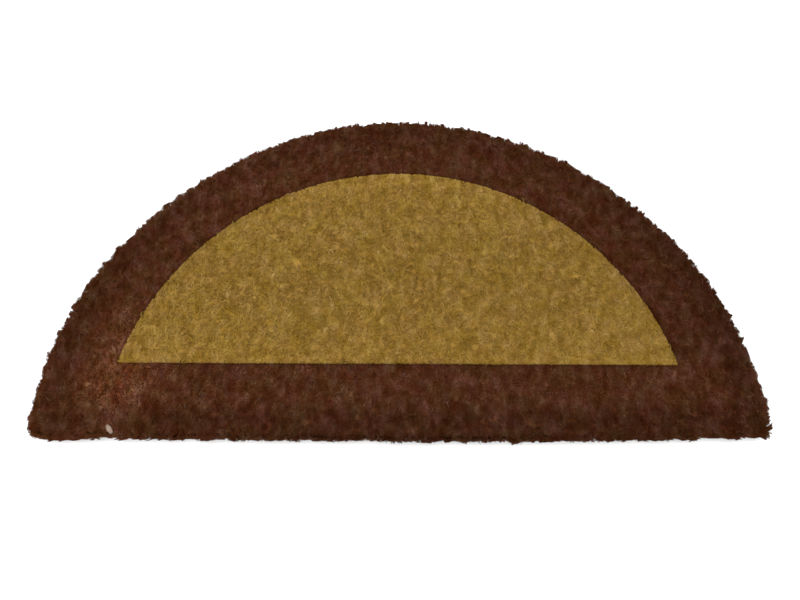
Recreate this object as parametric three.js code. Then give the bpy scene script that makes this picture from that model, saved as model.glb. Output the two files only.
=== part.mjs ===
// Half-round coir doormat: a dark border and a natural half-moon of brush pile on a thin backing.
//
// Millimetres, +Z up. The mat lies flat on z = 0 with its straight edge towards -Y and its
// arc towards +Y. The origin is at the middle of its underside. Outlines are drawn about the
// centre of the outer arc, and the whole mat is moved to its origin at the end.

import * as THREE from "three";

// Outer outline
const OUTER_RADIUS = 376.5; // half the mat's length
const FRONT_ENDS_Y = 4; // straight edge at the corners, above the arc's centre
const FRONT_BOW = 3; // how far the straight edge bows out at its middle
const CORNER_ROUND = 10;

// Half-moon panel, cut a little off centre as the photographed one is
const PANEL_RADIUS = 302.5;
const PANEL_CENTRE = new THREE.Vector2(-1.9, 5);
const PANEL_CHORD_Y = 79.6; // straight side, above the outer arc's centre
const PANEL_TILT = THREE.MathUtils.degToRad(-0.18);
const PANEL_CORNER_ROUND = 2;

// Layers
const BACKING_THICKNESS = 3;
const PILE_TOP = 17; // total thickness of the mat
const GAP = 0.3; // between neighbouring pieces
const PILE_FLOOR = BACKING_THICKNESS + GAP;
const SEAM_ROUND = 1; // soft upper edge of the pile along the seam

// Pile at the outer rim: it leaves the backing inside the outline, splays out and rounds over
const BACKING_INSET = 4.2;
const RIM_LEVELS = [
  { z: PILE_FLOOR, inset: 4, tufted: 0.2 },
  { z: 8, inset: 1.6, tufted: 0.6 },
  { z: 12.5, inset: 0, tufted: 1 },
  { z: 15.6, inset: 1.3, tufted: 0.9 },
  { z: PILE_TOP, inset: 4.5, tufted: 0.4 },
];
const TUFT_REACH = 0.9; // how far single tufts stray in or out

// How far the hand-cut outline strays outward: along the arc by angle from +X in degrees,
// and along the straight edge by x
const ARC_WANDER = [
  { at: 0, out: -1.5 },
  { at: 12, out: 0 },
  { at: 27, out: 1.9 },
  { at: 48, out: -1 },
  { at: 98, out: 0.6 },
  { at: 128, out: -1.5 },
  { at: 140, out: -0.7 },
  { at: 156, out: 2.2 },
  { at: 180, out: -2.2 },
];
const FRONT_WANDER = [
  { at: -OUTER_RADIUS, out: -2.2 },
  { at: -345, out: 1.8 },
  { at: -300, out: -0.6 },
  { at: -60, out: -0.3 },
  { at: 10, out: 0.4 },
  { at: 120, out: 1 },
  { at: 300, out: -0.5 },
  { at: OUTER_RADIUS, out: -1.5 },
];

// Steps along the outlines
const RIM_STEP = 8;
const PANEL_STEP = 9;
const FEWEST_STEPS = 3; // on a short curve, such as a corner

const fibre = { roughness: 0.95, metalness: 0 };
const darkCoir = new THREE.MeshStandardMaterial({ color: 0x4a2b1b, ...fibre });
const naturalCoir = new THREE.MeshStandardMaterial({ color: 0x8b6a32, ...fibre });
const backingSheet = new THREE.MeshStandardMaterial({ color: 0x2b2724, roughness: 0.7, metalness: 0 });

// Value of a wander table between its rows, eased from one row to the next
function wanderAt(table, at) {
  const next = Math.max(1, table.findIndex((row) => row.at >= at));
  const [from, to] = [table[next - 1], table[next]];
  return THREE.MathUtils.lerp(from.out, to.out, THREE.MathUtils.smoothstep(at, from.at, to.at));
}

// Points along a closed path, counterclockwise, each with its outward normal
function walk(path, step) {
  const points = path.curves.flatMap((curve) => {
    const steps = Math.max(FEWEST_STEPS, Math.ceil(curve.getLength() / step));
    return curve.getSpacedPoints(steps).slice(0, -1);
  });
  return points.map((point, i) => {
    const before = points.at(i - 1);
    const after = points[(i + 1) % points.length];
    const normal = new THREE.Vector2(after.y - before.y, before.x - after.x).normalize();
    return { point, normal };
  });
}

// One horizontal ring of an outline, moved out along its normals
function ringAt(outline, z, outAt) {
  return outline.map(({ point, normal }, i) => {
    const moved = point.clone().addScaledVector(normal, outAt(point, i));
    return new THREE.Vector3(moved.x, moved.y, z);
  });
}

function matPath() {
  const cornerAngle = Math.asin((FRONT_ENDS_Y + CORNER_ROUND) / OUTER_RADIUS);
  const path = new THREE.Path();
  path.absarc(0, 0, OUTER_RADIUS, cornerAngle, Math.PI - cornerAngle, false);
  const arcStart = path.getPoint(0);
  path.quadraticCurveTo(-OUTER_RADIUS, FRONT_ENDS_Y, CORNER_ROUND - OUTER_RADIUS, FRONT_ENDS_Y);
  path.quadraticCurveTo(0, FRONT_ENDS_Y - 2 * FRONT_BOW, OUTER_RADIUS - CORNER_ROUND, FRONT_ENDS_Y);
  path.quadraticCurveTo(OUTER_RADIUS, FRONT_ENDS_Y, arcStart.x, arcStart.y);
  return path;
}

function panelPath() {
  const chord = PANEL_CHORD_Y - PANEL_CENTRE.y;
  const cornerX = Math.sqrt(PANEL_RADIUS ** 2 - chord ** 2);
  const cornerAngle = Math.asin((chord + PANEL_CORNER_ROUND) / PANEL_RADIUS);
  const path = new THREE.Path();
  path.absarc(0, 0, PANEL_RADIUS, cornerAngle, Math.PI - cornerAngle, false);
  const arcStart = path.getPoint(0);
  path.quadraticCurveTo(-cornerX, chord, PANEL_CORNER_ROUND - cornerX, chord);
  path.lineTo(cornerX - PANEL_CORNER_ROUND, chord);
  path.quadraticCurveTo(cornerX, chord, arcStart.x, arcStart.y);
  return path;
}

// The panel's outline, turned and moved to its place in the mat
function panelOutline() {
  const centre = new THREE.Vector2();
  return walk(panelPath(), PANEL_STEP).map(({ point, normal }) => ({
    point: point.rotateAround(centre, PANEL_TILT).add(PANEL_CENTRE),
    normal: normal.rotateAround(centre, PANEL_TILT),
  }));
}

// How far the cut strays outward at a point of the outer outline
function cutWander(point) {
  if (point.y < FRONT_ENDS_Y + CORNER_ROUND / 2) {
    return wanderAt(FRONT_WANDER, THREE.MathUtils.clamp(point.x, -OUTER_RADIUS, OUTER_RADIUS));
  }
  return wanderAt(ARC_WANDER, THREE.MathUtils.radToDeg(Math.atan2(point.y, point.x)));
}

// Steady random value from -1 to 1 for the tuft at a step of the rim
function tuftAt(i) {
  return 2 * THREE.MathUtils.seededRandom(i + 1) - 1;
}

// Closed solid between stacked outer rings, listed upwards, with an optional stack for a hole
function stackedSolid(outerRings, holeRings = []) {
  const positions = [...outerRings, ...holeRings].flat().flatMap((vertex) => vertex.toArray());
  const faces = [];
  const addWall = (rings, firstVertex, facesOut) => {
    const count = rings[0].length;
    for (let level = 0; level < rings.length - 1; level += 1) {
      for (let i = 0; i < count; i += 1) {
        const low = firstVertex + level * count + i;
        const lowNext = firstVertex + level * count + ((i + 1) % count);
        const [high, highNext] = [low + count, lowNext + count];
        const quad = facesOut
          ? [low, lowNext, highNext, low, highNext, high]
          : [low, highNext, lowNext, low, high, highNext];
        faces.push(...quad);
      }
    }
  };
  const holeStart = outerRings.flat().length;
  addWall(outerRings, 0, true);
  if (holeRings.length) {
    addWall(holeRings, holeStart, false);
  }
  const addCap = (outerLevel, holeLevel, facesUp) => {
    const outer = outerRings.at(outerLevel);
    const hole = holeRings.length ? holeRings.at(holeLevel) : [];
    const outerFirst = outerLevel < 0 ? holeStart - outer.length : 0;
    const holeFirst = holeLevel < 0 ? positions.length / 3 - hole.length : holeStart;
    const flat = (ring) => ring.map((vertex) => new THREE.Vector2(vertex.x, vertex.y));
    const triangles = THREE.ShapeUtils.triangulateShape(flat(outer), hole.length ? [flat(hole)] : []);
    const toVertex = (i) => (i < outer.length ? outerFirst + i : holeFirst + i - outer.length);
    for (const triangle of triangles) {
      const [a, b, c] = triangle.map(toVertex);
      faces.push(...(facesUp ? [a, b, c] : [a, c, b]));
    }
  };
  addCap(0, 0, false);
  addCap(-1, -1, true);
  const geometry = new THREE.BufferGeometry();
  geometry.setAttribute("position", new THREE.Float32BufferAttribute(positions, 3));
  geometry.setIndex(faces);
  geometry.computeVertexNormals();
  return geometry;
}

function namedMesh(name, geometry, material) {
  const mesh = new THREE.Mesh(geometry, material);
  mesh.name = name;
  return mesh;
}

// Moulded sheet that the fibres stand in, cut with the mat, a little inside the splayed pile
function makeBacking() {
  const outline = walk(matPath(), RIM_STEP);
  const out = (point) => cutWander(point) - BACKING_INSET;
  const rings = [0, BACKING_THICKNESS].map((z) => ringAt(outline, z, out));
  return namedMesh("backing", stackedSolid(rings), backingSheet);
}

// Heights and insets of a pile edge that stands along the seam between the two colours
function seamLevels() {
  return [
    { z: PILE_FLOOR, inset: GAP / 2 },
    { z: PILE_TOP - SEAM_ROUND, inset: GAP / 2 },
    { z: PILE_TOP, inset: GAP / 2 + SEAM_ROUND },
  ];
}

// Dark pile: the whole D shape, open where the half-moon sits
function makeBorderPile() {
  const outline = walk(matPath(), RIM_STEP);
  const rim = RIM_LEVELS.map(({ z, inset, tufted }) =>
    ringAt(outline, z, (point, i) => cutWander(point) - inset + tufted * TUFT_REACH * tuftAt(i)),
  );
  const hole = seamLevels().map(({ z, inset }) => ringAt(panelOutline(), z, () => inset));
  return namedMesh("border_pile", stackedSolid(rim, hole), darkCoir);
}

// Natural pile: the half-moon panel
function makeCentrePile() {
  const rings = seamLevels().map(({ z, inset }) => ringAt(panelOutline(), z, () => -inset));
  return namedMesh("centre_pile", stackedSolid(rings), naturalCoir);
}

const doormat = new THREE.Group();
doormat.add(makeBacking(), makeBorderPile(), makeCentrePile());

// Move the mat so that the middle of its underside is the origin
const middle = new THREE.Box3().setFromObject(doormat).getCenter(new THREE.Vector3());
doormat.position.set(-middle.x, -middle.y, 0);

export default doormat;
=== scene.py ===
"""Half-round coir doormat: brush pile of two colours on a flexible backing, on a pale floor.

Metres. The straight edge faces -Y and the arc +Y. The outline, the seam and the height of the
pile come from the frame. The fibres, their colours, the studio and the camera are set here.
"""

import math

import bpy
import numpy as np
from mathutils import Matrix, Vector
from mathutils.bvhtree import BVHTree


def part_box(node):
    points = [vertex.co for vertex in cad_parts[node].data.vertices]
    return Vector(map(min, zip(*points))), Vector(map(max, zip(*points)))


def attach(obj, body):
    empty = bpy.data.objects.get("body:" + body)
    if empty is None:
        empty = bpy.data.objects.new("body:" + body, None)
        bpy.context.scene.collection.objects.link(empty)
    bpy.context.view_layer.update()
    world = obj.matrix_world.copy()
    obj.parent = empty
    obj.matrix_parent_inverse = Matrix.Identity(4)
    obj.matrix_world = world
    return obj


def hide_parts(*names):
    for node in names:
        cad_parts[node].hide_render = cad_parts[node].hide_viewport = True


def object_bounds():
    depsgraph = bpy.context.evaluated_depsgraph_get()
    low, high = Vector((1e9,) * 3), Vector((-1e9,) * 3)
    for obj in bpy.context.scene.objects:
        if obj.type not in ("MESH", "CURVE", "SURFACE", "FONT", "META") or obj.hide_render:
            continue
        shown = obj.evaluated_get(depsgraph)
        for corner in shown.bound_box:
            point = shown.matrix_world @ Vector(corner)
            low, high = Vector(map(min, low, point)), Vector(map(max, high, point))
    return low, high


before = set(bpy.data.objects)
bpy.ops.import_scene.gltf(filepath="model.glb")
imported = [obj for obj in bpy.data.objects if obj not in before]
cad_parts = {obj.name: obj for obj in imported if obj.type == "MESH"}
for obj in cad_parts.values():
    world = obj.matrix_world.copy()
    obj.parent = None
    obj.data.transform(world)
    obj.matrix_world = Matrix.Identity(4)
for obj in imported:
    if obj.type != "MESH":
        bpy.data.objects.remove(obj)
cad_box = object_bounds()

MM = 0.001
RANDOM_SEED = 41
rng = np.random.default_rng(RANDOM_SEED)

# Reading the frame's outlines
SAME_LEVEL = 0.1 * MM  # points of one ring differ by less than this in height
ROUNDING = 6  # decimals of a metre at which two points are one
EYE_DEPTH = 40 * MM  # from a point this far in from its lowest side, a ring is seen in order
PLACES_AT_ONCE = 4000

# Tufts of the pile
TUFT_PITCH = 4.3 * MM
TUFT_JITTER = 0.8 * MM
ROW_RATIO = math.sqrt(3) / 2  # between the rows of a triangular grid
FIBRES_PER_TUFT = 14
ROOT_SPREAD = 0.9 * MM  # of roots about their tuft's middle
TIP_SPREAD = np.array([1.15, 1.7]) * MM  # of tips, more along Y
ROOT_LEAN = 0.3  # how far roots lean the other way, as a share of their tips' lean
FIBRE_SPREAD = 0.8 * MM  # of each tip by itself
TUFT_LEAN = np.array([0.5, 1.5]) * MM  # how far a whole tuft leans at its tips
SWIRL = 0.9 * MM  # how far neighbouring tufts lean together, in curved locks
SWIRL_WAVES = 30
SWIRL_LENGTHS = np.array([9, 26]) * MM
TUFT_HEIGHT_VARIES = 0.45 * MM
FIBRE_HEIGHT_VARIES = 0.25 * MM
MOST_LIFT = 0.9 * MM  # of a tip above its usual height
TIPS_BELOW = 0.5 * MM  # usual height of the tips below the solid's top
FIBRE_LENGTH = 6 * MM
LENGTH_RANGE = (0.85, 1.15)  # as shares of it
LEAST_RISE = 2 * MM  # a fibre that would stand less high is left out
FIBRE_WIDTH = 1 * MM
WIDTH_RANGE = (0.7, 1.25)
PACKED_DEPTH = 3.6 * MM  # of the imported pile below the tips
PACKED_INSET = 3.6 * MM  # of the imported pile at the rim
PACKED_ENDS = 900  # fibre ends per metre
PACKED_PAINTED_LIGHT = 1.3  # painted light, at a fibre end's middle
PACKED_GAP_SHADE = 0.8  # painted shade: how much that falls towards the gaps

# Pile along the seam between the two colours
SEAM_CLEAR = 0.5 * MM  # tips stay this far from the seam
SEAM_ZONE = 2.2 * MM  # width of the pile that stands upright beside it
DENSE_AT_SEAM = 3.5 * MM
SEAM_SHADE = 0.56  # of the border right beside the seam
SEAM_SHADE_WIDTH = 2.2 * MM

# Pile round the rim
RIM_ZONE = 11 * MM  # width of the pile that leans outward
RIM_LEAN = 2.6 * MM
RIM_REACH = 1.6 * MM  # how far the outermost tufts stand past the CAD outline
RIM_REACH_VARIES = 1.25 * MM
FRONT_MORE = 0.4 * MM  # added along the straight edge
FRONT_CALM = 0.65  # share of RIM_REACH_VARIES that is left there
CORNER_REACH = 2 * MM  # added at the two corners
CORNER_WIDTH = 9 * MM
DENSE_AT_RIM = 9 * MM
RIM_SHOULDER = 2 * MM  # the pile stays as high as it is this far in

# Fibres that splay out of the cut edge
CUT_FIBRES = 13000
CUT_LOW = 4.6 * MM
CUT_HIGH = 15.8 * MM
CUT_TUFT_PITCH = 4.4 * MM
CUT_REACH = 0.9 * MM
CUT_REACH_VARIES = 0.6 * MM
CUT_ROOT_INSET = 4.2 * MM
CUT_ROOT_RISE = 0.45  # the highest roots, as a share of their tips' height above the backing
CUT_WIDTH_RANGE = (0.7, 1.2)
# painted light: the cut edge's fibres are made lighter than the border, against the shade on the edge
CUT_PAINTED_LIGHT = 1.1

# Loose fibres that lie bent on the pile
LOOSE_STEPS = 6
LOOSE_SIDES = 3
LOOSE_BEND = 1.7  # most that one turns along its length, in radians
LOOSE_LENGTHS = (5 * MM, 12 * MM)
LOOSE_WIDTHS = (0.5 * MM, 1.3 * MM)
LOOSE_ENDS = 0.55  # width at the ends, as a share of the middle's
LOOSE_ARCHES = (0.2 * MM, 1 * MM)  # how high their middles stand
LOOSE_SUNK = 0.8 * MM  # how far their ends sink into the pile
LOOSE_FROM_RIM = 3 * MM
LOOSE_TRIES = 6  # places tried for each one
LOOSE_TONE_VARIES = 0.12
LOOSE_ON_BORDER = {"count": 450, "tone": 0.8, "light": 0.75}
LOOSE_ON_CENTRE = {"count": 300, "tone": 0.7, "light": 0.65}

# One pale chip of husk near the front left corner, and small pale spots in the border,
# in millimetres from the mat's middle
HUSK_CHIP = {"x": -291.5, "y": -178.5, "length": 10.5, "width": 5.4, "thickness": 2.4, "turn": 128}
CHIP_SIDES = 8
PALE_SPOTS = [
    {"x": -156.5, "y": -148},
    {"x": -287.5, "y": -142},
    {"x": -304, "y": -156},
    {"x": -323, "y": -131},
    {"x": -326, "y": -141},
    {"x": -49.5, "y": -141},
    {"x": -25.5, "y": -158},
    {"x": 206.5, "y": 44.5},
    {"x": 311, "y": 4.5},
    {"x": 289, "y": -78},
    {"x": 285.5, "y": -117},
    {"x": 12, "y": 158},
    {"x": 9, "y": 146},
]
SPOT_RADIUS = 2.4 * MM
SPOT_TONE = 0.3
SPOT_LIGHT = 0.45

# How light the border is, with painted light near the straight edge: shares that are added up, and where
# they apply
BORDER_LIGHT = {
    "arc": 0.92,
    "arc_inner": -0.1,
    "arc_ends": -0.14,
    "straight": 0.78,
    "straight_inner": 0.18,
    # painted light: lifts the pile near the straight edge, where it lies in shade
    "straight_edge_painted_light": 0.27,
    "inner": 0.34,
    "left": 0.12,
    "worn": 1,
}
INNER_FROM = 18 * MM  # from the rim
INNER_OVER = 26 * MM
STRAIGHT_BELOW = -95 * MM
STRAIGHT_OVER = 20 * MM
ENDS_FROM = 0.5  # of half the mat's length
ENDS_OVER = 0.4
# width of the painted light along the straight edge
PAINTED_EDGE_LIGHT_WIDTH = 9 * MM
WORN_MIDDLE = np.array([-290, -112]) * MM
WORN_SIZE = np.array([31, 58]) * MM

# How light the half-moon is
CENTRE_LIGHT = {"middle": 0.97, "low": 0.19, "high": 0.24, "left": 0.03}
CENTRE_FADE = 45 * MM  # width over which the low and the high part fade

# Colours, linear
DARK_COIR = {
    "base": (0.068, 0.0236, 0.0098),
    "spread": 2,  # green of the palest shade over the base, and of the base over the deepest
    "bends": (0.6, 1, 1.5),  # powers of that spread in red, green and blue
    "clumps": 2.4,  # how far the clumps shift the tone
    "tints": [(0.4, (0.96, 1.05, 0.9)), (0.6, (1.06, 0.95, 1.08))],  # olive to red
}
NATURAL_COIR = {
    "base": (0.258, 0.153, 0.031),
    "spread": 1.6,
    "bends": (0.78, 1, 2),
    "clumps": 1.6,
    "tints": [(0.39, (0.99, 1.01, 0.9)), (0.61, (1.01, 0.99, 1.1))],  # yellow to tan
}
HUSK = {
    "base": (0.175, 0.12, 0.088),
    "spread": 1.3,
    "bends": (0.7, 1, 1.4),
    "clumps": 2,
    "tints": [(0, (1, 1, 1)), (1, (1, 1, 1))],
}
SHADE_STOPS = 5
TINT_SCALE = 50  # of the drifts of hue, per metre
CLUMP_SCALE = 95  # of the clumps of lighter and darker tufts, per metre
NOISE_DETAIL = 3  # of drifts and clumps
NOISE_ROUGHNESS = 0.6
NOISE_MIDDLE = 0.5
STREAK = (1.3, 0.8, 1)  # the clumps are drawn out along Y
MIDDLE_TONE = 0.5
TONE_OF_TUFTS = 0.05  # how far tufts and single fibres stray from it
TONE_OF_FIBRES = 0.02
PALE_TUFTS = 0.012  # share of tufts that are paler
PALE_TONE = 0.3

# Surfaces, with their grain per metre
COIR_ROUGHNESS = 0.9
FIBRE_GRAIN = 2600
FIBRE_BUMP = {"strength": 0.25, "distance": 0.1 * MM}
PACKED_BUMP = {"strength": 0.8, "distance": 0.6 * MM}
BACKING_SHINE = {"roughness": 0.62, "specular": 0.35}
BACKING_PEBBLES = 480
BACKING_BUMP = {"strength": 0.35, "distance": 0.3 * MM}
BACKING_DUST = {"scale": 26, "detail": 5}
BACKING_SHADES = [(0.35, (0.020, 0.017, 0.015)), (0.7, (0.034, 0.029, 0.025))]
FLOOR_SHINE = {"roughness": 0.9, "specular": 0.1}
FLOOR_CLOUDS = {"scale": 3, "detail": 2}
FLOOR_SHADES = [(0.3, (0.86, 0.86, 0.86)), (0.7, (0.88, 0.88, 0.88))]
MAP_MARGIN = 0.12  # free on each side of a strand's cell in its UV map

# Studio
FLOOR_SIZE = 8
SKY_STRENGTH = 1.3
LAMPS = {
    "key_light": {"place": (-0.5, -0.2, 2), "size": 1.8, "power": 34},
    "fill_light": {"place": (0.7, 0.6, 1.8), "size": 1.8, "power": 12},
}

# Camera, as in the photograph: close above the front edge
LENS = 30.56
LOOK_AT = Vector((0.4, -32, 0)) * MM
CAMERA_DISTANCE = 750 * MM
CAMERA_ELEVATION = math.radians(69.2)
CAMERA_YAW = math.radians(0.3)
CAMERA_ROLL = math.radians(-0.21)
CLIP_START = 10 * MM


# The frame's solids

border_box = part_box("border_pile")
pile_top = border_box[1].z
pile_floor = border_box[0].z


def corners_of(node):
    """The vertices of a CAD node as an array."""
    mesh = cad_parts[node].data
    found = np.empty(len(mesh.vertices) * 3)
    mesh.vertices.foreach_get("co", found)
    return found.reshape(-1, 3)


def tree_of(node):
    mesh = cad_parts[node].data
    points = [v.co for v in mesh.vertices]
    return BVHTree.FromPolygons(points, [tuple(p.vertices) for p in mesh.polygons])


def outline_of(node):
    """The widest ring of a CAD node, counterclockwise, and the outward normal at each point."""
    corners = corners_of(node)
    widest = corners[np.argmax(corners[:, 0]), 2]
    level = corners[abs(corners[:, 2] - widest) < SAME_LEVEL, :2]
    ring = np.unique(level.round(ROUNDING), axis=0)
    eye_y = ring[:, 1].min() + EYE_DEPTH
    angle = np.arctan2(ring[:, 1] - eye_y, ring[:, 0])
    ring = ring[np.argsort(angle)]
    along = np.roll(ring, -1, 0) - np.roll(ring, 1, 0)
    normals = np.c_[along[:, 1], -along[:, 0]]
    return ring, normals / np.linalg.norm(normals, axis=1)[:, None]


rim, rim_normals = outline_of("border_pile")
seam, seam_normals = outline_of("centre_pile")
border_tree = tree_of("border_pile")
centre_tree = tree_of("centre_pile")


def depth_in(ring, normals, places):
    """How far inside a ring each place is, less than 0 outside it, and the outward direction there."""
    distance = np.empty(len(places))
    outward = np.empty((len(places), 2))
    for start in range(0, len(places), PLACES_AT_ONCE):
        chunk = slice(start, start + PLACES_AT_ONCE)
        away = places[chunk, None] - ring[None]
        nearest = (away**2).sum(2).argmin(1)
        outward[chunk] = normals[nearest]
        distance[chunk] = -(away[np.arange(len(away)), nearest] * normals[nearest]).sum(1)
    return distance, outward


def from_rim(places):
    return depth_in(rim, rim_normals, places)


def from_seam(places):
    return depth_in(seam, seam_normals, places)


def heights_at(places):
    """Height of the pile at each place, nan off the mat, and whether the place is on the border."""
    down = Vector((0, 0, -1))
    height = np.full(len(places), np.nan)
    on_border = np.zeros(len(places), bool)
    for i, (x, y) in enumerate(places):
        above = Vector((x, y, 2 * pile_top))
        hit = border_tree.ray_cast(above, down)[0]
        on_border[i] = hit is not None
        hit = hit or centre_tree.ray_cast(above, down)[0]
        if hit is not None:
            height[i] = hit.z
    return height, on_border


# Colour of the pile

def smooth(value):
    """0 below 0, 1 above 1 and eased between."""
    value = np.clip(value, 0, 1)
    return value * value * (3 - 2 * value)


def dark_light_at(places):
    """How light the dyed border is: lighter towards the seam and the left and in one worn patch, with
    painted light near the straight edge, where the pile lies in shade.
    """
    depth = np.maximum(from_rim(places)[0], 0)
    inner = smooth((depth - INNER_FROM) / INNER_OVER)
    front = smooth((STRAIGHT_BELOW - places[:, 1]) / STRAIGHT_OVER)
    across = -places[:, 0] / border_box[1].x
    ends = smooth((abs(across) - ENDS_FROM) / ENDS_OVER)
    worn = np.exp(-(((places - WORN_MIDDLE) / WORN_SIZE) ** 2).sum(1))
    beside = np.exp(-((from_seam(places)[0] / SEAM_SHADE_WIDTH) ** 2))
    # painted light: the pile near the straight edge is made lighter, where it lies in shade
    edge = np.exp(-((depth / PAINTED_EDGE_LIGHT_WIDTH) ** 2))
    part = BORDER_LIGHT
    arc = part["arc"] + part["arc_inner"] * inner + part["arc_ends"] * ends
    straight = part["straight"] + part["straight_inner"] * inner + part["straight_edge_painted_light"] * edge
    light = arc * (1 - front) + straight * front
    light += part["inner"] * inner + part["left"] * across + part["worn"] * worn
    return light * (1 - (1 - SEAM_SHADE) * beside)


def natural_light_at(places):
    """How light the half-moon is: lighter along its straight side, at its top and to the left."""
    centre_low, centre_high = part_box("centre_pile")
    low = np.exp(-(places[:, 1] - centre_low.y) / CENTRE_FADE)
    high = np.exp(-(centre_high.y - places[:, 1]) / CENTRE_FADE)
    across = -places[:, 0] / border_box[1].x
    part = CENTRE_LIGHT
    return part["middle"] + part["low"] * low + part["high"] * high + part["left"] * across


def spots_at(places):
    """1 at the middle of each pale spot and 0 away from them."""
    centres = np.array([[spot["x"], spot["y"]] for spot in PALE_SPOTS]) * MM
    away = np.linalg.norm(places[:, None] - centres[None], axis=2).min(1)
    return np.exp(-((away / SPOT_RADIUS) ** 2))


# Meshes from arrays

def mesh_piece(name, points, faces, material, replaced):
    """A piece of the mat from arrays of points and of faces with equally many sides."""
    mesh = bpy.data.meshes.new(name)
    sides = faces.shape[1]
    mesh.vertices.add(len(points))
    mesh.vertices.foreach_set("co", points.astype(np.float32).ravel())
    mesh.loops.add(faces.size)
    mesh.loops.foreach_set("vertex_index", faces.astype(np.int32).ravel())
    mesh.polygons.add(len(faces))
    mesh.polygons.foreach_set("loop_start", np.arange(0, faces.size, sides, dtype=np.int32))
    mesh.update(calc_edges=True)
    mesh.materials.append(material)
    piece = bpy.data.objects.new(name, mesh)
    bpy.context.scene.collection.objects.link(piece)
    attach(piece, "root")
    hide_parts(replaced)
    return piece


def give_map(mesh, count, per_strand):
    """A UV map with a cell for each strand, its points at the places in per_strand, from 0 to 1."""
    columns = math.ceil(math.sqrt(count))
    cell = np.arange(count)
    low = np.c_[cell % columns, cell // columns]
    at = (low[:, None] + MAP_MARGIN + (1 - 2 * MAP_MARGIN) * per_strand[None]) / columns
    at = at.reshape(-1, 2)
    corner = np.empty(len(mesh.loops), np.int32)
    mesh.loops.foreach_get("vertex_index", corner)
    layer = mesh.uv_layers.new(name="OFBake")
    layer.data.foreach_set("uv", at[corner].astype(np.float32).ravel())


def give_strand_values(mesh, tone, light):
    """Point values that the fibre materials read: tone and light."""
    values = mesh.attributes.new("strand", "FLOAT_VECTOR", "POINT")
    vectors = np.c_[tone, light, np.zeros(len(tone))]
    values.data.foreach_set("vector", vectors.astype(np.float32).ravel())


def fibre_piece(name, roots, tips, width, turn, tone, light, slot_name, material, replaced):
    """Short straight fibres, each a closed sliver with four faces whose two ends are cut crosswise."""
    count = len(roots)
    low_side = np.c_[np.cos(turn), np.sin(turn), np.zeros(count)] * (width / 2)[:, None]
    high_side = np.c_[-np.sin(turn), np.cos(turn), np.zeros(count)] * (width / 2)[:, None]
    points = np.stack([roots - low_side, roots + low_side, tips - high_side, tips + high_side], 1)
    fibre_points = points.shape[1]
    sliver = np.array([[0, 3, 1], [0, 1, 2], [0, 2, 3], [1, 3, 2]])
    faces = (np.arange(count)[:, None, None] * fibre_points + sliver[None]).reshape(-1, 3)
    piece = mesh_piece(name, points.reshape(-1, 3), faces, material, replaced)
    give_map(piece.data, count, np.array([[0, 0], [1, 0], [0, 1], [1, 1]]))
    give_strand_values(piece.data, np.repeat(tone, fibre_points), np.repeat(light, fibre_points))
    return piece


# Materials

def node_in(tree, kind, **inputs):
    """A new node; keyword inputs are set by socket name, with _ for a space."""
    made = tree.nodes.new(kind)
    for name, value in inputs.items():
        made.inputs[name.replace("_", " ")].default_value = value
    return made


def ramp_in(tree, factor, stops):
    """A colour ramp over (position, colour) stops, fed by the factor socket."""
    ramp = tree.nodes.new("ShaderNodeValToRGB")
    elements = ramp.color_ramp.elements
    while len(elements) < len(stops):
        elements.new(0.5)
    for element, (position, colour) in zip(elements, stops, strict=True):
        element.position = position
        element.color = (*colour, 1)
    tree.links.new(factor, ramp.inputs["Fac"])
    return ramp.outputs["Color"]


def math_in(tree, operation, first, second):
    made = tree.nodes.new("ShaderNodeMath")
    made.operation = operation
    for socket, value in zip(made.inputs, (first, second), strict=False):
        if isinstance(value, bpy.types.NodeSocket):
            tree.links.new(value, socket)
        else:
            socket.default_value = value
    return made.outputs[0]


def noise_in(tree, coordinates, scale, detail, roughness=0.5):
    made = node_in(tree, "ShaderNodeTexNoise", Scale=scale, Detail=detail, Roughness=roughness)
    tree.links.new(coordinates, made.inputs["Vector"])
    return made.outputs["Fac"]


def tinted_in(tree, coordinates, colour, tints):
    """The colour with slow drifts of hue over the mat."""
    drift = noise_in(tree, coordinates, TINT_SCALE, NOISE_DETAIL, NOISE_ROUGHNESS)
    tint = ramp_in(tree, drift, tints)
    made = tree.nodes.new("ShaderNodeVectorMath")
    made.operation = "MULTIPLY"
    tree.links.new(colour, made.inputs[0])
    tree.links.new(tint, made.inputs[1])
    return made.outputs[0]


def multiply_in(tree, colour, factor):
    """The colour times a number."""
    made = tree.nodes.new("ShaderNodeVectorMath")
    made.operation = "SCALE"
    tree.links.new(colour, made.inputs[0])
    tree.links.new(factor, made.inputs["Scale"])
    return made.outputs[0]


def new_material(name, roughness, specular):
    material = bpy.data.materials.new(name)
    material.use_nodes = True
    tree = material.node_tree
    shader = tree.nodes["Principled BSDF"]
    shader.inputs["Roughness"].default_value = roughness
    shader.inputs["Specular IOR Level"].default_value = specular
    coordinates = tree.nodes.new("ShaderNodeTexCoord").outputs["Object"]
    return material, tree, shader, coordinates


def add_bump(tree, shader, height, strength, distance):
    bump = node_in(tree, "ShaderNodeBump", Strength=strength, Distance=distance)
    tree.links.new(height, bump.inputs["Height"])
    tree.links.new(bump.outputs["Normal"], shader.inputs["Normal"])


def shades_of(coir):
    """Ramp stops from a deep shade of the fibre's base colour to a pale one, which is less red."""
    stops = []
    for position in np.linspace(0, 1, SHADE_STOPS):
        shift = coir["spread"] ** (2 * position - 1)
        channels = zip(coir["base"], coir["bends"], strict=True)
        stops.append((position, [value * shift**bend for value, bend in channels]))
    return stops


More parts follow.
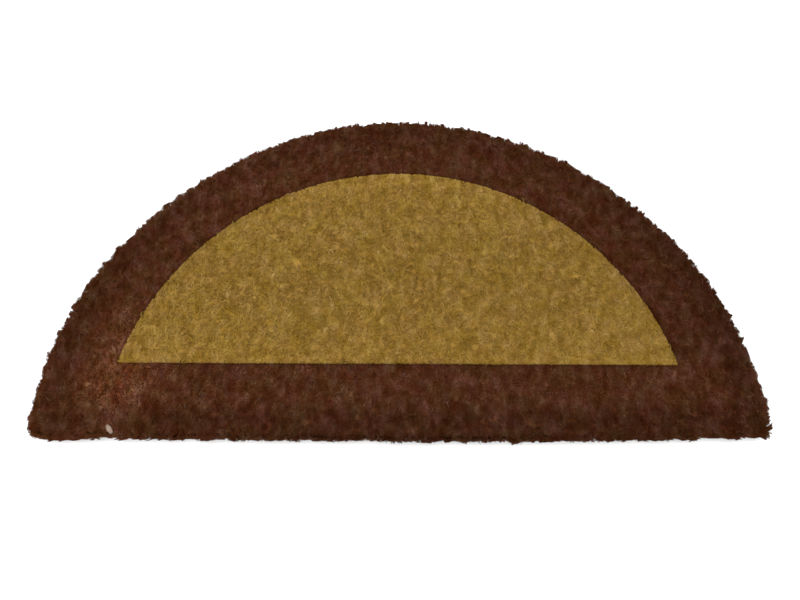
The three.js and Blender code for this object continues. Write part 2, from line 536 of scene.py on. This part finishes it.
def coir_in(tree, coordinates, coir, tone, light):
    """Colour of the fibre: its tone and light, paler and deeper clumps, and slow drifts of hue."""
    streaked = node_in(tree, "ShaderNodeVectorMath")
    streaked.operation = "MULTIPLY"
    streaked.inputs[1].default_value = STREAK
    tree.links.new(coordinates, streaked.inputs[0])
    noise = noise_in(tree, streaked.outputs[0], CLUMP_SCALE, NOISE_DETAIL, NOISE_ROUGHNESS)
    swing = math_in(tree, "SUBTRACT", noise, NOISE_MIDDLE)
    clumps = math_in(tree, "MULTIPLY", swing, coir["clumps"])
    shade = ramp_in(tree, math_in(tree, "ADD", clumps, tone), shades_of(coir))
    return tinted_in(tree, coordinates, multiply_in(tree, shade, light), coir["tints"])


def fibre_material(name, coir):
    """Coconut fibre, with each strand's own tone and light."""
    material, tree, shader, coordinates = new_material(name, COIR_ROUGHNESS, 0)
    strand = tree.nodes.new("ShaderNodeAttribute")
    strand.attribute_name = "strand"
    parts = tree.nodes.new("ShaderNodeSeparateXYZ")
    tree.links.new(strand.outputs["Vector"], parts.inputs[0])
    colour = coir_in(tree, coordinates, coir, parts.outputs["X"], parts.outputs["Y"])
    tree.links.new(colour, shader.inputs["Base Color"])
    add_bump(tree, shader, noise_in(tree, coordinates, FIBRE_GRAIN, 1), **FIBRE_BUMP)
    return material


def packed_material(name, coir):
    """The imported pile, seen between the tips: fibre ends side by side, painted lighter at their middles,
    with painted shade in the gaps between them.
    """
    material, tree, shader, coordinates = new_material(name, COIR_ROUGHNESS, 0)
    ends = tree.nodes.new("ShaderNodeTexVoronoi")
    ends.inputs["Scale"].default_value = PACKED_ENDS
    tree.links.new(coordinates, ends.inputs["Vector"])
    height = math_in(tree, "SUBTRACT", 1, ends.outputs["Distance"])
    # painted light and shade: each fibre end lighter at its middle and darker towards the gaps
    gap_shade = math_in(tree, "MULTIPLY", ends.outputs["Distance"], PACKED_GAP_SHADE)
    light = math_in(tree, "SUBTRACT", PACKED_PAINTED_LIGHT, gap_shade)
    colour = coir_in(tree, coordinates, coir, MIDDLE_TONE, light)
    tree.links.new(colour, shader.inputs["Base Color"])
    add_bump(tree, shader, height, **PACKED_BUMP)
    return material


def backing_material():
    """Moulded backing: near-black with a faint pebbled face."""
    material, tree, shader, coordinates = new_material("moulded_backing", **BACKING_SHINE)
    pebbles = tree.nodes.new("ShaderNodeTexVoronoi")
    pebbles.inputs["Scale"].default_value = BACKING_PEBBLES
    tree.links.new(coordinates, pebbles.inputs["Vector"])
    dust = noise_in(tree, coordinates, **BACKING_DUST)
    tree.links.new(ramp_in(tree, dust, BACKING_SHADES), shader.inputs["Base Color"])
    add_bump(tree, shader, pebbles.outputs["Distance"], **BACKING_BUMP)
    return material


dark_fibre = fibre_material("dark_coir_fibre", DARK_COIR)
natural_fibre = fibre_material("natural_coir_fibre", NATURAL_COIR)
husk = fibre_material("pale_husk", HUSK)
dark_packed = packed_material("dark_coir_packed", DARK_COIR)
natural_packed = packed_material("natural_coir_packed", NATURAL_COIR)


# Pile fibres

def tuft_centres():
    """A shaken triangular grid over the mat, twice as dense beside the rim and the seam."""
    xs = np.arange(cad_box[0].x, cad_box[1].x, TUFT_PITCH)
    ys = np.arange(cad_box[0].y, cad_box[1].y, TUFT_PITCH * ROW_RATIO)
    grid_x, grid_y = np.meshgrid(xs, ys)
    grid_x[1::2] += TUFT_PITCH / 2
    centres = np.c_[grid_x.ravel(), grid_y.ravel()]
    centres += rng.uniform(-TUFT_JITTER, TUFT_JITTER, centres.shape)
    beside_rim = from_rim(centres)[0] < DENSE_AT_RIM
    beside_seam = abs(from_seam(centres)[0]) < DENSE_AT_SEAM
    extra = centres[beside_rim | beside_seam]
    extra = extra + rng.uniform(-TUFT_PITCH / 2, TUFT_PITCH / 2, extra.shape)
    centres = np.concatenate([centres, extra])
    distance, outward = from_rim(centres)
    inside = distance > 0
    return centres[inside], distance[inside], outward[inside]


def swirl_at(places):
    """A smooth wandering lean, made of waves in all directions."""
    heading = rng.uniform(0, 2 * math.pi, SWIRL_WAVES)
    frequency = 2 * math.pi / rng.uniform(*SWIRL_LENGTHS, SWIRL_WAVES)
    waves = np.c_[np.cos(heading), np.sin(heading)] * frequency[:, None]
    phase = rng.uniform(0, 2 * math.pi, SWIRL_WAVES)
    strength = rng.normal(0, SWIRL * math.sqrt(2 / SWIRL_WAVES), (SWIRL_WAVES, 2))
    return np.sin(places @ waves.T + phase) @ strength


def grow_pile():
    """Roots, tips and values of every fibre that stands in the pile."""
    centres, distance, outward = tuft_centres()
    tufts = len(centres)
    splay = RIM_LEAN * (1 - smooth(distance / RIM_ZONE))
    lean = rng.normal(0, 1, (tufts, 2)) * TUFT_LEAN + swirl_at(centres) + outward * splay[:, None]
    faces_front = np.clip(-outward[:, 1], 0, 1)
    calm = 1 - (1 - FRONT_CALM) * faces_front
    reach = rng.normal(RIM_REACH + FRONT_MORE * faces_front, RIM_REACH_VARIES * calm)
    for side in (-1, 1):
        corner = np.array([side * border_box[1].x, border_box[0].y])
        from_corner = np.linalg.norm(centres - corner, axis=1)
        reach += CORNER_REACH * np.exp(-((from_corner / CORNER_WIDTH) ** 2))
    lift = rng.normal(0, TUFT_HEIGHT_VARIES, tufts)
    tuft_tone = rng.normal(0, TONE_OF_TUFTS, tufts)
    tuft_tone += PALE_TONE * (rng.uniform(0, 1, tufts) < PALE_TUFTS)
    own = np.repeat(np.arange(tufts), FIBRES_PER_TUFT)
    offset = rng.normal(0, 1, (len(own), 2))
    roots = centres[own] + offset * ROOT_SPREAD - lean[own] * ROOT_LEAN
    tips = centres[own] + offset * TIP_SPREAD + lean[own]
    tips += rng.normal(0, FIBRE_SPREAD, (len(own), 2))
    depth, away = from_rim(tips)
    ragged = abs(rng.normal(0, FIBRE_SPREAD / 2, len(own)))
    past = np.maximum(-depth - reach[own] + ragged, 0)
    tips -= away * past[:, None]
    shoulder = np.maximum(RIM_SHOULDER - depth - past, 0)
    on_border = heights_at(tips)[1]
    inside, across = from_seam(tips)
    side = np.where(on_border, 1, -1)
    push = np.maximum(SEAM_CLEAR - abs(inside), 0) * side
    tips += across * push[:, None]
    upright = abs(inside) < SEAM_ZONE
    roots[upright] = tips[upright]
    height, on_border = heights_at(tips - away * shoulder[:, None])
    fibre_lift = rng.normal(0, FIBRE_HEIGHT_VARIES, len(own))
    top = height + np.minimum(lift[own] + fibre_lift, MOST_LIFT) - TIPS_BELOW
    length = FIBRE_LENGTH * rng.uniform(*LENGTH_RANGE, len(own))
    foot = np.maximum(top - length, pile_floor)
    foot = np.where(distance[own] < RIM_ZONE / 2, pile_floor, foot)
    kept = ~np.isnan(height) & (top - foot > LEAST_RISE)
    place, on_border = tips[kept], on_border[kept]
    spot = spots_at(place) * on_border
    tone = MIDDLE_TONE + tuft_tone[own] + rng.normal(0, TONE_OF_FIBRES, len(own))
    light = np.where(on_border, dark_light_at(place), natural_light_at(place))
    return {
        "roots": np.c_[roots, foot][kept],
        "tips": np.c_[tips, top][kept],
        "tone": tone[kept] + SPOT_TONE * spot,
        "width": FIBRE_WIDTH * rng.uniform(*WIDTH_RANGE, kept.sum()),
        "turn": rng.uniform(0, math.pi, kept.sum()),
        "on_border": on_border,
        "light": light * (1 + SPOT_LIGHT * spot),
    }


def add_fibres(name, fibres, chosen, slot_name, material, replaced):
    picked = {key: values[chosen] for key, values in fibres.items()}
    picked.pop("on_border", None)
    return fibre_piece(name, **picked, slot_name=slot_name, material=material, replaced=replaced)


def add_pile():
    """The pile, in pieces side by side along X so that each stays small enough to handle."""
    fibres = grow_pile()
    made = []
    for base, slot_name, material, replaced, on_border, parts in (
        ("border_fibres", "dark_coir", dark_fibre, "border_pile", True, ("left", "middle", "right")),
        ("centre_fibres", "natural_coir", natural_fibre, "centre_pile", False, ("left", "right")),
    ):
        mine = np.flatnonzero(fibres["on_border"] == on_border)
        mine = mine[np.argsort(fibres["tips"][mine, 0], kind="stable")]
        for part, chosen in zip(parts, np.array_split(mine, len(parts)), strict=True):
            made.append(add_fibres(f"{base}_{part}", fibres, chosen, slot_name, material, replaced))
    return made


def add_cut_edge():
    """Fibres that splay out of the cut edge, from the backing up to the pile's shoulder."""
    steps = np.linalg.norm(np.roll(rim, -1, 0) - rim, axis=1)
    ends = np.cumsum(steps)
    place = rng.uniform(0, ends[-1], CUT_FIBRES)
    segment = np.searchsorted(ends, place)
    share = ((ends[segment] - place) / steps[segment])[:, None]
    following = (segment + 1) % len(rim)
    foot = rim[segment] * share + rim[following] * (1 - share)
    outward = rim_normals[segment] * share + rim_normals[following] * (1 - share)
    height = rng.uniform(CUT_LOW, CUT_HIGH, CUT_FIBRES)
    tuft = (place / CUT_TUFT_PITCH).astype(int)
    tufts = tuft.max() + 1
    tuft_tone = rng.normal(0, TONE_OF_TUFTS, tufts)
    tuft_reach = rng.normal(CUT_REACH, CUT_REACH_VARIES, tufts)
    reach = tuft_reach[tuft] + rng.normal(0, CUT_REACH_VARIES / 2, CUT_FIBRES)
    tips = np.empty((CUT_FIBRES, 3))
    for i in range(CUT_FIBRES):
        out = Vector((*outward[i], 0)).normalized()
        start = Vector((*foot[i], height[i])) + out * RIM_ZONE
        tips[i] = border_tree.ray_cast(start, -out)[0] + out * reach[i]
    root_height = pile_floor + (height - pile_floor) * rng.uniform(0, CUT_ROOT_RISE, CUT_FIBRES)
    fibres = {
        "roots": np.c_[foot - outward * CUT_ROOT_INSET, root_height],
        "tips": tips,
        "tone": MIDDLE_TONE + tuft_tone[tuft] + rng.normal(0, TONE_OF_FIBRES, CUT_FIBRES),
        "width": FIBRE_WIDTH * rng.uniform(*CUT_WIDTH_RANGE, CUT_FIBRES),
        "turn": rng.uniform(0, math.pi, CUT_FIBRES),
        # painted light: lighter than the pile above, against the shade on the cut edge
        "light": CUT_PAINTED_LIGHT * dark_light_at(foot),
    }
    return add_fibres("cut_edge_fibres", fibres, slice(None), "dark_coir", dark_fibre, "border_pile")


# Loose and bent fibres

def bent_strands(name, strands, sides, material, replaced):
    """Closed tubes that lie over the pile, each bent to a side and lifted at its middle."""
    starts = strands["starts"]
    count = len(starts)
    share = np.linspace(0, 1, LOOSE_STEPS)
    bend = rng.uniform(-LOOSE_BEND, LOOSE_BEND, count)
    heading = strands["turns"][:, None] + bend[:, None] * (share[None] - 0.5)
    step = (strands["lengths"] / (LOOSE_STEPS - 1))[:, None]
    flat = np.stack([np.cos(heading), np.sin(heading)], 2) * step[..., None]
    path = np.cumsum(flat, 1) - flat.sum(1, keepdims=True) / 2
    path = path + starts[:, None, :2]
    hump = np.sin(math.pi * share)[None]
    lift = starts[:, None, 2] + strands["arch"][:, None] * hump - LOOSE_SUNK * (1 - hump)
    side = np.stack([-np.sin(heading), np.cos(heading)], 2)
    swell = LOOSE_ENDS + (1 - LOOSE_ENDS) * hump
    half_width = strands["widths"][:, None] / 2 * swell
    half_thickness = strands["thicknesses"][:, None] / 2 * swell
    rings = []
    for corner in range(sides):
        angle = 2 * math.pi * corner / sides
        across = path + side * (half_width * math.cos(angle))[..., None]
        up = lift + half_thickness * math.sin(angle)
        rings.append(np.concatenate([across, up[..., None]], 2))
    points = np.stack(rings, 2).reshape(-1, 3)
    faces = []
    for level in range(LOOSE_STEPS - 1):
        for corner in range(sides):
            low, high = level * sides, (level + 1) * sides
            after = (corner + 1) % sides
            faces.append([low + corner, high + corner, low + after])
            faces.append([low + after, high + corner, high + after])
    last = (LOOSE_STEPS - 1) * sides
    for corner in range(1, sides - 1):
        faces.append([0, corner, corner + 1])
        faces.append([last, last + corner + 1, last + corner])
    strand_points = LOOSE_STEPS * sides
    faces = (np.arange(count)[:, None, None] * strand_points + np.array(faces)[None]).reshape(-1, 3)
    piece = mesh_piece(name, points, faces, material, replaced)
    level = np.repeat(share, sides)
    corner = np.tile(np.linspace(0, 1, sides), LOOSE_STEPS)
    give_map(piece.data, count, np.c_[corner, level])
    light = np.full(count * strand_points, strands["light"])
    give_strand_values(piece.data, np.repeat(strands["tone"], strand_points), light)
    return piece


def scattered(count, on_border):
    """Places spread over one field of the pile, with the pile's height there."""
    low, high = (np.array(corner.xy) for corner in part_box("border_pile" if on_border else "centre_pile"))
    places = rng.uniform(low, high, (count * LOOSE_TRIES, 2))
    height, is_border = heights_at(places)
    clear = from_rim(places)[0] > LOOSE_FROM_RIM
    fits = np.flatnonzero(~np.isnan(height) & (is_border == on_border) & clear)[:count]
    return np.c_[places, height][fits]


def add_loose(name, loose, on_border, material, replaced):
    starts = scattered(loose["count"], on_border)
    count = len(starts)
    widths = rng.uniform(*LOOSE_WIDTHS, count)
    strands = {
        "starts": starts,
        "turns": rng.uniform(0, math.pi, count),
        "lengths": rng.uniform(*LOOSE_LENGTHS, count),
        "widths": widths,
        "thicknesses": widths,
        "arch": rng.uniform(*LOOSE_ARCHES, count),
        "tone": rng.normal(loose["tone"], LOOSE_TONE_VARIES, count),
        "light": loose["light"],
    }
    return bent_strands(name, strands, LOOSE_SIDES, material, replaced)


def add_chip():
    """The pale chip of husk that lies on the dark border."""
    strands = {
        "starts": np.array([[HUSK_CHIP["x"] * MM, HUSK_CHIP["y"] * MM, pile_top]]),
        "turns": np.radians([HUSK_CHIP["turn"]]),
        "lengths": np.array([HUSK_CHIP["length"] * MM]),
        "widths": np.array([HUSK_CHIP["width"] * MM]),
        "thicknesses": np.array([HUSK_CHIP["thickness"] * MM]),
        "arch": np.zeros(1),
        "tone": np.full(1, MIDDLE_TONE),
        "light": 1,
    }
    return bent_strands("husk_chip", strands, CHIP_SIDES, husk, "border_pile")


# Packed lower pile and backing

def add_packed(name, node, material):
    """The dense part of the pile that the tips stand out of."""
    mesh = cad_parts[node].data.copy()
    points = corners_of(node)
    distance, outward = from_rim(points[:, :2])
    inset = np.where(distance < RIM_ZONE, PACKED_INSET, 0)
    points[:, :2] -= outward * inset[:, None]
    points[:, 2] = np.maximum(points[:, 2] - PACKED_DEPTH, pile_floor)
    mesh.vertices.foreach_set("co", points.astype(np.float32).ravel())
    mesh.name = name
    mesh.materials.clear()
    mesh.materials.append(material)
    piece = bpy.data.objects.new(name, mesh)
    bpy.context.scene.collection.objects.link(piece)
    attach(piece, "root")
    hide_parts(node)
    return piece


def dress_backing():
    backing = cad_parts["backing"]
    backing.data.materials.clear()
    backing.data.materials.append(backing_material())
    return backing


# Studio

def add_floor():
    mesh = bpy.data.meshes.new("floor")
    half = FLOOR_SIZE / 2
    corners = [(-half, -half, 0), (half, -half, 0), (half, half, 0), (-half, half, 0)]
    mesh.from_pydata(corners, [], [(0, 1, 2, 3)])
    material, tree, shader, coordinates = new_material("pale_floor", **FLOOR_SHINE)
    clouds = noise_in(tree, coordinates, **FLOOR_CLOUDS)
    tree.links.new(ramp_in(tree, clouds, FLOOR_SHADES), shader.inputs["Base Color"])
    mesh.materials.append(material)
    floor = bpy.data.objects.new("floor", mesh)
    bpy.context.scene.collection.objects.link(floor)


def add_area_light(name, place, size, power):
    lamp = bpy.data.lights.new(name, "AREA")
    lamp.size = size
    lamp.energy = power
    light = bpy.data.objects.new(name, lamp)
    light.location = place
    light.rotation_mode = "QUATERNION"
    light.rotation_quaternion = (-Vector(place)).to_track_quat("-Z", "Y")
    bpy.context.scene.collection.objects.link(light)


def add_lights():
    world = bpy.data.worlds.new("studio")
    world.use_nodes = True
    background = world.node_tree.nodes["Background"]
    background.inputs["Color"].default_value = (1, 1, 1, 1)
    background.inputs["Strength"].default_value = SKY_STRENGTH
    bpy.context.scene.world = world
    for name, lamp in LAMPS.items():
        add_area_light(name, **lamp)


def add_camera():
    """Looks down at the mat from just above its front edge, with the photograph's turn and roll."""
    right = Vector((math.cos(CAMERA_YAW), math.sin(CAMERA_YAW), 0))
    level = Vector((-math.sin(CAMERA_YAW), math.cos(CAMERA_YAW), 0))
    up = Vector((0, 0, 1))
    forward = level * math.cos(CAMERA_ELEVATION) - up * math.sin(CAMERA_ELEVATION)
    top = level * math.sin(CAMERA_ELEVATION) + up * math.cos(CAMERA_ELEVATION)
    rolled_right = right * math.cos(CAMERA_ROLL) + top * math.sin(CAMERA_ROLL)
    rolled_top = top * math.cos(CAMERA_ROLL) - right * math.sin(CAMERA_ROLL)
    lens = bpy.data.cameras.new("camera")
    lens.lens = LENS
    lens.clip_start = CLIP_START
    camera = bpy.data.objects.new("camera", lens)
    turn = Matrix((rolled_right, rolled_top, -forward)).transposed().to_4x4()
    camera.matrix_world = Matrix.Translation(LOOK_AT - forward * CAMERA_DISTANCE) @ turn
    bpy.context.scene.collection.objects.link(camera)
    bpy.context.scene.camera = camera


backing = dress_backing()
on_backing = [
    add_packed("border_packed", "border_pile", dark_packed),
    add_packed("centre_packed", "centre_pile", natural_packed),
    *add_pile(),
    add_cut_edge(),
    add_loose("border_loose", LOOSE_ON_BORDER, True, dark_fibre, "border_pile"),
    add_loose("centre_loose", LOOSE_ON_CENTRE, False, natural_fibre, "centre_pile"),
    add_chip(),
]
add_floor()
add_lights()
add_camera()
bpy.context.scene.view_settings.view_transform = "Standard"
